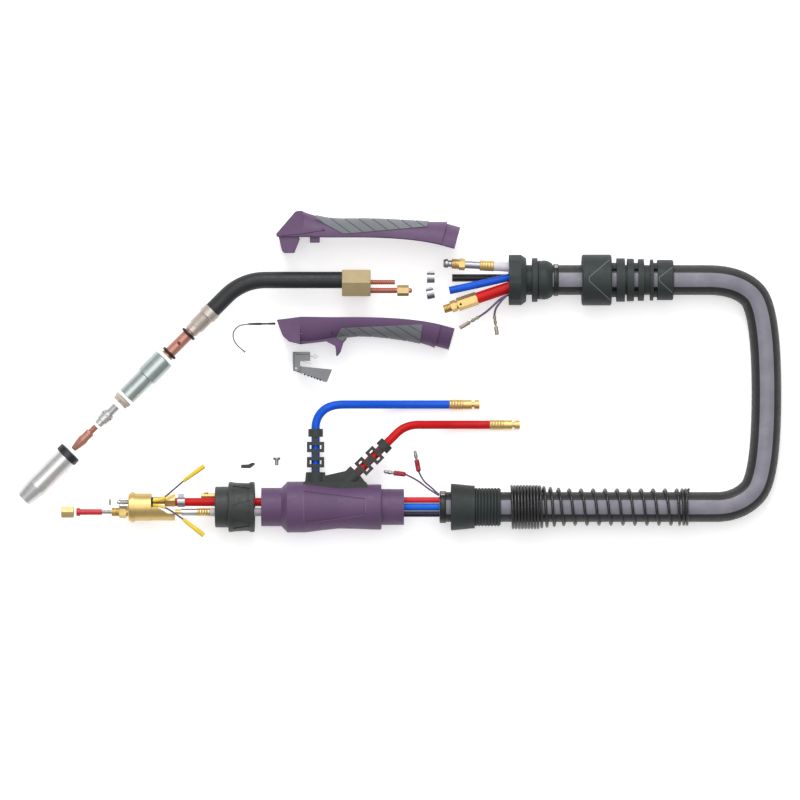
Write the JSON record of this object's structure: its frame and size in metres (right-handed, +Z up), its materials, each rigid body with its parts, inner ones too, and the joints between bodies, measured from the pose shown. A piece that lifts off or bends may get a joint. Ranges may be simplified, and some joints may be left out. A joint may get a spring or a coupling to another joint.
{
  "type": "mig welding torch",
  "caption": "Water-cooled MIG welding torch laid out apart: swan neck, nozzle parts, split trigger handle, cable, spring guard, housing with hose tails and a central connector.",
  "frame": {"origin": "centre of the front face of the central connector's locating flange", "axes": "+X from the connector towards the cable, +Y from the connector line to the handle line, +Z up from the surface that the torch lies on"},
  "size_m": [0.764, 0.3267, 0.051],
  "materials": {
    "neck_rubber": "black insulating sleeve",
    "copper": "bare copper",
    "nickel": "nickel plated, warm grey",
    "sleeve_steel": "brushed, pale",
    "nozzle_steel": "brushed along its length",
    "dark_steel": "dark band",
    "ceramic": "insulating ring",
    "brass": "machined brass",
    "purple": "moulded, fine grain",
    "grip_grey": "soft grip",
    "switch_grey": "moulded",
    "steel": "bright",
    "seal_black": "seal",
    "cable_black": "sheath with a grey stripe",
    "slate": "dark slate, moulded",
    "boot_rubber": "moulded rubber",
    "nut_black": "black, moulded",
    "spring_black": "coated wire",
    "hose_red": "red hose",
    "hose_blue": "blue hose",
    "hose_black": "black hose",
    "hose_clear": "milky hose",
    "lead_violet": "thin lead with crimped ends",
    "lead_red": "lead with insulated bullet ends",
    "lead_yellow": "lead with insulated ends",
    "liner_red": "liner head and spiral"
  },
  "bodies": {
    "cable": {"main_cable": "cable_black", "cable_clamps": "dark_steel", "knuckle_ball": "slate", "conduit_pipe": "steel", "conduit_fittings": "brass", "gas_hose": "hose_clear", "return_hose": "hose_black", "blue_hose_tail": "hose_blue", "power_fitting": "brass", "power_hose": "hose_red", "switch_leads": "lead_violet", "rear_hoses": "hose_red", "bullet_leads": "lead_red", "hose_clamps": "steel"},
    "neck": {"neck_tube": "neck_rubber", "neck_block": "brass", "neck_pipes": "copper", "neck_pipe_nut": "brass", "neck_collar": "nickel", "neck_inner_tube": "copper", "neck_o_rings": "seal_black"},
    "sleeve": {"neck_sleeve": "sleeve_steel"},
    "insulator": {"insulating_ring": "ceramic"},
    "adaptor": {"tip_adaptor": "nickel"},
    "tip": {"contact_tip": "copper"},
    "nozzle": {"nozzle": "nozzle_steel", "nozzle_ring": "dark_steel"},
    "upper_shell": {"upper_shell": "purple", "upper_grip": "grip_grey"},
    "lower_shell": {"lower_shell": "purple", "lower_grip": "grip_grey"},
    "hook": {"neck_hook": "steel"},
    "switch": {"switch_body": "switch_grey", "trigger_pin": "steel", "switch_contacts": "steel"},
    "trigger": {"trigger_lever": "switch_grey"},
    "knuckle_nut": {"knuckle_nut": "slate"},
    "front_support": {"front_cable_support": "slate"},
    "rear_collar": {"rear_collar": "slate"},
    "spring_guard": {"spring_guard": "spring_black"},
    "housing": {"housing": "purple", "hose_boot": "boot_rubber", "blue_water_hose": "hose_blue", "red_water_hose": "hose_red", "water_plugs": "brass"},
    "screw": {"housing_screw": "steel"},
    "lock_lug": {"lock_lug": "nut_black"},
    "nut_retainer": {"nut_retainer": "steel"},
    "connector_nut": {"connector_nut": "nut_black"},
    "connector": {"connector_body": "brass", "contact_pins": "steel", "connector_fittings": "brass", "power_lead": "hose_red", "power_clamp": "steel", "gas_pipe": "steel", "clear_hose": "hose_clear", "coupler_leads": "lead_yellow"},
    "gas_seal": {"gas_o_ring": "seal_black"},
    "liner": {"wire_liner": "liner_red"},
    "liner_nut": {"liner_nut": "brass"}
  },
  "joints": [
    {"name": "neck_slide", "type": "slide", "parent": "cable", "child": "neck", "axis": [1, 0, 0], "range_m": [0, 0.013]},
    {"name": "sleeve_slide", "type": "slide", "parent": "neck", "child": "sleeve", "axis": [0.7071, 0.7071, 0], "range_m": [0, 0.059]},
    {"name": "insulator_slide", "type": "slide", "parent": "sleeve", "child": "insulator", "axis": [0.7071, 0.7071, 0], "range_m": [0, 0.003]},
    {"name": "adaptor_slide", "type": "slide", "parent": "insulator", "child": "adaptor", "axis": [0.7071, 0.7071, 0], "range_m": [0, 0.014]},
    {"name": "tip_slide", "type": "slide", "parent": "adaptor", "child": "tip", "axis": [0.7071, 0.7071, 0], "range_m": [0, 0.0102]},
    {"name": "nozzle_slide", "type": "slide", "parent": "sleeve", "child": "nozzle", "axis": [0.7071, 0.7071, 0], "range_m": [0, 0.096]},
    {"name": "upper_shell_slide", "type": "slide", "parent": "cable", "child": "upper_shell", "axis": [-0.4932, -0.8699, 0], "range_m": [0, 0.0485]},
    {"name": "lower_shell_slide", "type": "slide", "parent": "cable", "child": "lower_shell", "axis": [-0.5693, 0.8221, 0], "range_m": [0, 0.0436]},
    {"name": "hook_slide", "type": "slide", "parent": "lower_shell", "child": "hook", "axis": [1, 0, 0], "range_m": [0, 0.025]},
    {"name": "switch_slide", "type": "slide", "parent": "lower_shell", "child": "switch", "axis": [0, 1, 0], "range_m": [0, 0.0255]},
    {"name": "trigger_pull", "type": "hinge", "parent": "switch", "child": "trigger", "pos_m": [0.165, 0.1387, 0], "axis": [0, 0, 1], "range_deg": [0, 7], "stiffness_Nm_per_rad": 0.25, "springref_deg": -14.32},
    {"name": "knuckle_turn", "type": "hinge", "parent": "cable", "child": "knuckle_nut", "pos_m": [0.393, 0.227, 0], "axis": [1, 0, 0], "continuous": true},
    {"name": "front_support_slide", "type": "slide", "parent": "cable", "child": "front_support", "axis": [-1, 0, 0], "range_m": [0, 0.05]},
    {"name": "rear_collar_slide", "type": "slide", "parent": "cable", "child": "rear_collar", "axis": [-1, 0, 0], "range_m": [0, 0.026]},
    {"name": "spring_guard_slide", "type": "slide", "parent": "rear_collar", "child": "spring_guard", "axis": [-1, 0, 0], "range_m": [0, 0.033]},
    {"name": "housing_slide", "type": "slide", "parent": "cable", "child": "housing", "axis": [1, 0, 0], "range_m": [0, 0.028], "deforming": ["bullet_leads"]},
    {"name": "screw_slide", "type": "slide", "parent": "housing", "child": "screw", "axis": [0, -1, 0], "range_m": [0, 0.0272]},
    {"name": "lock_lug_slide", "type": "slide", "parent": "housing", "child": "lock_lug", "axis": [0, -1, 0], "range_m": [0, 0.013]},
    {"name": "nut_slide", "type": "slide", "parent": "housing", "child": "nut_retainer", "axis": [1, 0, 0], "range_m": [0, 0.017]},
    {"name": "nut_turn", "type": "hinge", "parent": "nut_retainer", "child": "connector_nut", "pos_m": [0.104, 0, 0], "axis": [1, 0, 0], "continuous": true},
    {"name": "connector_slide", "type": "slide", "parent": "housing", "child": "connector", "axis": [1, 0, 0], "range_m": [0, 0.097], "deforming": ["coupler_leads"]},
    {"name": "gas_seal_slide", "type": "slide", "parent": "connector", "child": "gas_seal", "axis": [1, 0, 0], "range_m": [0, 0.0085]},
    {"name": "liner_slide", "type": "slide", "parent": "connector", "child": "liner", "axis": [1, 0, 0], "range_m": [0, 0.0313]},
    {"name": "liner_nut_slide", "type": "slide", "parent": "liner", "child": "liner_nut", "axis": [1, 0, 0], "range_m": [0, 0.0125]}
  ]
}
